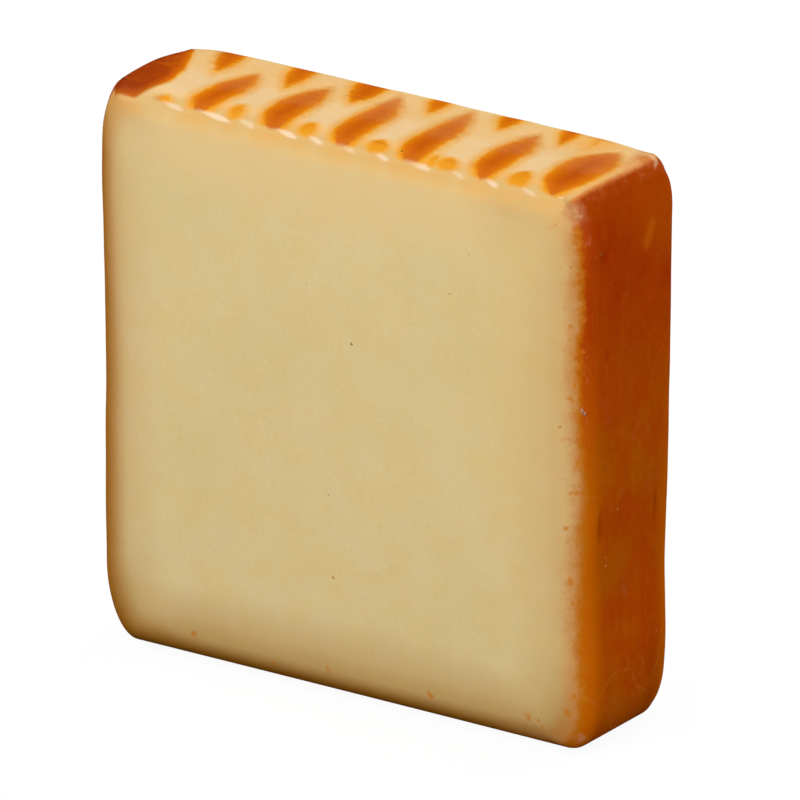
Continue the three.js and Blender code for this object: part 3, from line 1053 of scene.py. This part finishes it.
# Place and half length of each smear
SMEARS = [
    ((47.1, -14.3, 77.1), 0.6),
    ((48.7, -13.0, 72.8), 0.7),
    ((47.7, -13.8, 66.8), 0.8),
    ((46.9, -14.2, 64.3), 0.6),
    ((45.4, -14.4, 59.4), 0.6),
    ((48.1, -13.4, 52.9), 0.9),
    ((47.7, -13.6, 47.6), 0.8),
    ((48.0, -13.3, 39.0), 0.7),
    ((47.0, -13.7, 31.4), 0.9),
    ((47.3, -13.6, 27.8), 0.7),
    ((48.8, -12.2, 10.3), 0.8),
    ((46.7, -13.3, 7.9), 0.9),
    ((38.9, -13.7, 5.7), 0.9),
    ((41.3, -13.6, 5.2), 0.8),
    ((19.2, -13.5, 5.1), 0.8),
    ((-1.7, -13.3, 4.8), 0.8),
    ((-29.3, -13.1, 5.6), 0.8),
    ((-13.3, -13.0, 3.5), 0.6),
    ((47.8, -13.7, 61.3), 0.6),
    ((48.4, -13.2, 51.9), 0.6),
    ((46.6, -14.0, 41.4), 0.6),
    ((48.6, -12.7, 22.4), 0.6),
    ((47.6, -13.2, 10.9), 0.7),
]
small_drift = cheese.vector("SUBTRACT", cheese.noise(cheese.mm, 1.2, colour=True), (0.5, 0.5, 0.5))
smear_mm = cheese.vector("ADD", cheese.mm, cheese.vector("SCALE", small_drift, scale=2.5))
smear_away = NOWHERE_NEAR
for smear_place, smear_half in SMEARS:
    away = cheese.math("DIVIDE", cheese.vector("DISTANCE", smear_mm, smear_place), smear_half)
    smear_away = cheese.math("MINIMUM", smear_away, away)
colour = cheese.mix(cheese.span(smear_away, 1.1, 0.4, 0.0, 0.75), colour, SMEAR)
cheese.set("Base Color", colour)
print("smears:", len(SMEARS))

# %% [markdown]
# ## Gloss and fine relief
# Fresh cheese is slightly greasy: the strands shine softly, the cut face is duller, and the rind is
# between the two. The greasy streaks of the rim get a clear coat, the only truly glossy thing here.
# A little light enters the cheese and comes out nearby, which softens its edges. Values that hold
# all over are set on the shader itself.

# %% Finish the surface
gloss_noise = cheese.noise(cheese.mm, 1.8, 3.0, 0.6)
cut_rough = cheese.span(gloss_noise, 0.3, 0.7, 0.48, 0.58)
rind_rough = cheese.span(gloss_noise, 0.3, 0.7, 0.36, 0.5)
strand_rough = cheese.span(mark_share, 0.0, 1.0, 0.34, 0.5)
top_rough = cheese.times(strand_rough, top_share)
outer_rough = cheese.plus(top_rough, cheese.times(rind_rough, away_from_top))
skin_share = cheese.span(inward_mm, 7.0, 5.0)
skin_rough = cheese.times(outer_rough, skin_share)
rough = cheese.plus(skin_rough, cheese.times(cut_rough, cheese.less(skin_share)))
cheese.set("Roughness", rough)
FINE_RELIEF = 0.02
fine_relief = cheese.times(cheese.noise(cheese.mm, 1.2, 4.0, 0.6), 0.6)
fine_relief = cheese.plus(fine_relief, cheese.times(streaks, 0.5))
cheese.set("Normal", cheese.bump(fine_relief, FINE_RELIEF))
cheese.shader.inputs["IOR"].default_value = 1.45
cheese.shader.inputs["Specular IOR Level"].default_value = 0.25
cheese.set("Coat Weight", cheese.layer("grease"))
cheese.shader.inputs["Coat Roughness"].default_value = 0.1
cheese.shader.inputs["Coat IOR"].default_value = 2.2
cheese.shader.inputs["Subsurface Weight"].default_value = 0.2
cheese.shader.inputs["Subsurface Radius"].default_value = (1.0, 0.5, 0.2)
cheese.shader.inputs["Subsurface Scale"].default_value = 2.0 * MM
slab_mesh.materials.append(cheese.material)
print(slab.name, "is painted with", len(cheese.tree.nodes), "nodes")

# %% [markdown]
# ## Crumbs, flakes and specks of char
# Bits of rind stick to the rims: crumbs of a third of a millimetre. There are also a few pale flakes
# and dark specks of char from the smoker. They could be painted like the smears, but these stand up
# and catch light on one side, so they are small lumps. Each starts as a ball with few faces that is
# flattened, turned and roughened, and is then set on the skin at the place nearest to it.

# %% Make a lump
bpy.context.view_layer.update()
LUMP_SEED = 17
LUMP_ROUGHNESS = (0.75, 1.2)
lump_draw = np.random.default_rng(LUMP_SEED)


def add_lump(shape, near, length, width, thick):
    """Sets one lump on the skin, nearest to a place in millimetres, at a random turn."""
    _, place, normal, _ = slab.closest_point_on_mesh(Vector(near) * MM)
    facing = normal.to_track_quat("Z", "Y").to_matrix().to_4x4()
    spin = Matrix.Rotation(lump_draw.uniform(0, 2 * math.pi), 4, "Z")
    size = Matrix.Diagonal((length * MM / 2, width * MM / 2, thick * MM / 2, 1))
    made = bmesh.ops.create_icosphere(shape, subdivisions=1, radius=1.0)
    for point in made["verts"]:
        point.co *= lump_draw.uniform(*LUMP_ROUGHNESS)
    move = Matrix.Translation(place) @ facing @ spin @ size
    bmesh.ops.transform(shape, matrix=move, verts=made["verts"])


def lump_paint(name, patch, dark, light, smoothest, roughest, grain, relief):
    """A material of two tones in patches of that size, with fine relief; sizes in millimetres."""
    paint = Paint(name)
    share = paint.span(paint.noise(paint.mm, patch, 3.0), 0.35, 0.65)
    paint.set("Base Color", paint.mix(share, dark, light))
    paint.set("Roughness", paint.span(share, 0.0, 1.0, smoothest, roughest))
    paint.set("Normal", paint.bump(paint.noise(paint.mm, grain), relief))
    return paint


def finish_lumps(shape, name, paint):
    """Turns the lumps into a piece of the slab."""
    mesh = bpy.data.meshes.new(name)
    shape.to_mesh(mesh)
    shape.free()
    mesh.shade_smooth()
    mesh.materials.append(paint.material)
    piece = bpy.data.objects.new(name, mesh)
    bpy.context.scene.collection.objects.link(piece)
    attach(piece, "root")
    print(name, "has", len(mesh.polygons), "faces")


print("lumps are roughened by factors from %.2f to %.2f" % LUMP_ROUGHNESS)

# %% Stick crumbs to the rims
CRUMBS = 70
CRUMB_LENGTHS = (0.2, 0.42)
CRUMB_WIDTH_SHARE = 0.7
CRUMB_THICKNESS = 0.12
crumb_shape = bmesh.new()
rim_points = np.nonzero((inward > 2.8) & (inward < 6.5) & (around > 56) & (z > 2))[0]
for rim_point in lump_draw.choice(rim_points, CRUMBS, replace=False):
    long = lump_draw.uniform(*CRUMB_LENGTHS)
    add_lump(crumb_shape, skin[rim_point], long, long * CRUMB_WIDTH_SHARE, CRUMB_THICKNESS)
DARK_CRUMB = tone(194, 108, 26)
LIGHT_CRUMB = tone(214, 140, 58)
crumb_paint = lump_paint("rind_crumb", 1.2, DARK_CRUMB, LIGHT_CRUMB, 0.45, 0.6, 0.4, 0.03)
finish_lumps(crumb_shape, "rind_crumbs", crumb_paint)

# %% Add the pale flakes
# Each flake: place, length, width and thickness in millimetres
FLAKES = [
    ((48.6, -13.0, 62.1), 1.6, 0.8, 0.2),
    ((48.9, -12.6, 61.6), 0.9, 0.6, 0.3),
    ((50.1, -9.2, 88.9), 1.1, 0.35, 0.15),
    ((3.5, -14.4, 65.2), 0.7, 0.6, 0.25),
    ((-0.5, -14.4, 22.2), 0.6, 0.5, 0.25),
]
flake_shape = bmesh.new()
for flake_place, long, wide, thick in FLAKES:
    add_lump(flake_shape, flake_place, long, wide, thick)
DARK_FLAKE = tone(184, 116, 78)
LIGHT_FLAKE = tone(202, 138, 100)
flake_paint = lump_paint("pale_flake", 0.7, DARK_FLAKE, LIGHT_FLAKE, 0.4, 0.55, 0.3, 0.02)
finish_lumps(flake_shape, "pale_flakes", flake_paint)

# %% Add the specks of char
CHAR_WIDTH_SHARE = 0.6
CHAR_THICKNESS_SHARE = 0.4
CHAR_THICKEST = 0.4
# Each speck: place and length in millimetres
CHAR = [
    ((-46.3, -9.8, 100.6), 1.0),
    ((-45.7, -10.1, 101.0), 0.5),
    ((-47.5, 3.5, 100.5), 1.1),
    ((-47.8, 4.3, 100.2), 0.8),
    ((11.6, -12.0, 100.3), 0.45),
    ((23.4, -14.5, 78.3), 0.35),
    ((27.4, -14.5, 86.1), 0.25),
    ((-1.4, -14.4, 37.0), 0.3),
    ((-5.6, -14.4, 74.1), 0.25),
]
char_shape = bmesh.new()
for char_place, long in CHAR:
    thick = min(long * CHAR_THICKNESS_SHARE, CHAR_THICKEST)
    add_lump(char_shape, char_place, long, long * CHAR_WIDTH_SHARE, thick)
DARK_CHAR = tone(70, 32, 12)
LIGHT_CHAR = tone(118, 58, 20)
char_paint = lump_paint("char_speck", 0.6, DARK_CHAR, LIGHT_CHAR, 0.5, 0.7, 0.3, 0.03)
char_paint.shader.inputs["Specular IOR Level"].default_value = 0.1
finish_lumps(char_shape, "char_specks", char_paint)

# %% [markdown]
# ## The stage
# The photograph was taken with soft light on a white ground. The floor is a plain pale sheet that
# shines a little by itself, so that only a faint shadow shows, and it sends no light back up, because
# the real slab is dark underneath.

# %% Lay the floor
FLOOR_HALF = 3.0
FLOOR_GREY = (0.08, 0.08, 0.08, 1.0)
FLOOR_SHINE = 0.93
floor_shape = bmesh.new()
bmesh.ops.create_grid(floor_shape, x_segments=1, y_segments=1, size=FLOOR_HALF)
floor_mesh = bpy.data.meshes.new("floor")
floor_shape.to_mesh(floor_mesh)
floor_shape.free()
floor = bpy.data.objects.new("floor", floor_mesh)
bpy.context.scene.collection.objects.link(floor)
floor.visible_diffuse = False
floor.visible_glossy = False
floor.visible_transmission = False
sheet = Paint("pale_floor")
sheet.set("Base Color", FLOOR_GREY)
sheet.set("Roughness", 0.9)
sheet.set("Emission Color", (1.0, 1.0, 1.0, 1.0))
sheet.set("Emission Strength", FLOOR_SHINE)
sheet.shader.inputs["Specular IOR Level"].default_value = 0.0
floor_mesh.materials.append(sheet.material)
print("floor:", [round(side, 1) for side in floor.dimensions], "m")

# %% [markdown]
# Large soft lights stand in front, behind and at the right, and weaker ones overhead, at the left and
# straight behind for the hidden side. They are kept out of reflections, because each would lay a
# broad sheen on the rind. Only the one called glint can be seen in the greasy streaks; its twin in
# the same place lights the top without adding to them.

# %% Hang the lights
TARGET = Vector((0, 0, 0.05))


def soft_light(name, direction, distance, width, height, share, mirrored=True):
    """A rectangle of light aimed at the slab; share 1 shows white paper at full brightness."""
    data = bpy.data.lights.new(name, "AREA")
    data.shape = "RECTANGLE"
    data.size = width
    data.size_y = height
    data.energy = share * math.pi ** 2 * distance ** 2
    lamp = bpy.data.objects.new(name, data)
    towards = Vector(direction).normalized()
    lamp.location = TARGET + towards * distance
    lamp.rotation_euler = towards.to_track_quat("Z", "Y").to_euler()
    lamp.visible_glossy = mirrored
    bpy.context.scene.collection.objects.link(lamp)


soft_light("front", (-0.2, -0.88, 0.42), 0.6, 0.6, 0.45, 0.775, False)
soft_light("overhead", (-0.05, -0.05, 0.99), 0.9, 0.6, 0.6, 0.13, False)
soft_light("behind", (0.15, 0.72, 0.66), 1.0, 0.6, 0.6, 0.62, False)
soft_light("right", (0.88, -0.45, 0.1), 1.0, 0.6, 0.5, 0.72, False)
soft_light("left", (-0.97, 0.1, 0.25), 1.0, 0.5, 0.5, 0.3, False)
soft_light("back", (-0.1, 0.98, 0.15), 1.0, 0.6, 0.6, 0.35, False)
soft_light("glint", (-0.52, -0.32, 0.79), 0.9, 0.36, 0.36, 0.1)
soft_light("upper left", (-0.52, -0.32, 0.79), 0.9, 0.36, 0.36, 0.1, False)

# %% [markdown]
# The world is white where the camera looks past the slab. To everything else it is a dim room: grey
# overhead and dark below the horizon.

# %% Fill the room
SKY = 0.2
GROUND = 0.006
HORIZON = 0.45
ZENITH = 0.9
world = bpy.data.worlds.new("room")
bpy.context.scene.world = world
world.use_nodes = True
room = world.node_tree
room.nodes.clear()
place = room.nodes.new("ShaderNodeTexCoord")
part = room.nodes.new("ShaderNodeSeparateXYZ")
room.links.new(place.outputs["Generated"], part.inputs[0])
rise = room.nodes.new("ShaderNodeMapRange")
rise.inputs["From Min"].default_value = HORIZON
rise.inputs["From Max"].default_value = ZENITH
rise.inputs["To Min"].default_value = GROUND
rise.inputs["To Max"].default_value = SKY
room.links.new(part.outputs["Z"], rise.inputs["Value"])
dim = room.nodes.new("ShaderNodeBackground")
room.links.new(rise.outputs[0], dim.inputs["Strength"])
white = room.nodes.new("ShaderNodeBackground")
path = room.nodes.new("ShaderNodeLightPath")
choose = room.nodes.new("ShaderNodeMixShader")
room.links.new(path.outputs["Is Camera Ray"], choose.inputs[0])
room.links.new(dim.outputs[0], choose.inputs[1])
room.links.new(white.outputs[0], choose.inputs[2])
out = room.nodes.new("ShaderNodeOutputWorld")
room.links.new(choose.outputs[0], out.inputs[0])
bpy.context.scene.view_settings.view_transform = "Standard"
print("room light overhead:", SKY)

# %% [markdown]
# ## The camera
# The photograph was taken from far away with a long lens, from the right and a little above. The
# angles were found by matching the outline, and the picture is turned by a quarter of a degree.

# %% Set up the camera
AZIMUTH = math.radians(33.758)
ELEVATION = math.radians(20.245)
ROLL = math.radians(0.265)
DISTANCE = 2.547
MIDDLE = Vector((0, 0, 0.05043))
AIM_RIGHT = 2.88
AIM_UP = -0.42
lens = bpy.data.cameras.new("camera")
lens.sensor_width = 36.0
lens.lens = 678.6
camera = bpy.data.objects.new("camera", lens)
bpy.context.scene.collection.objects.link(camera)
bpy.context.scene.camera = camera
turned = Matrix.Rotation(AZIMUTH, 4, "Z") @ Matrix.Rotation(math.pi / 2 - ELEVATION, 4, "X")
offset = Matrix.Translation((AIM_RIGHT * MM, AIM_UP * MM, DISTANCE))
camera.matrix_world = Matrix.Translation(MIDDLE) @ turned @ offset @ Matrix.Rotation(ROLL, 4, "Z")
print("camera at", [round(v, 3) for v in camera.matrix_world.translation])

# %% [markdown]
# ## The end
# The dressed slab has to fill the same box as the solid; the scene is brought up to date before the
# frame is closed.

# %% Finish
bpy.context.view_layer.update()
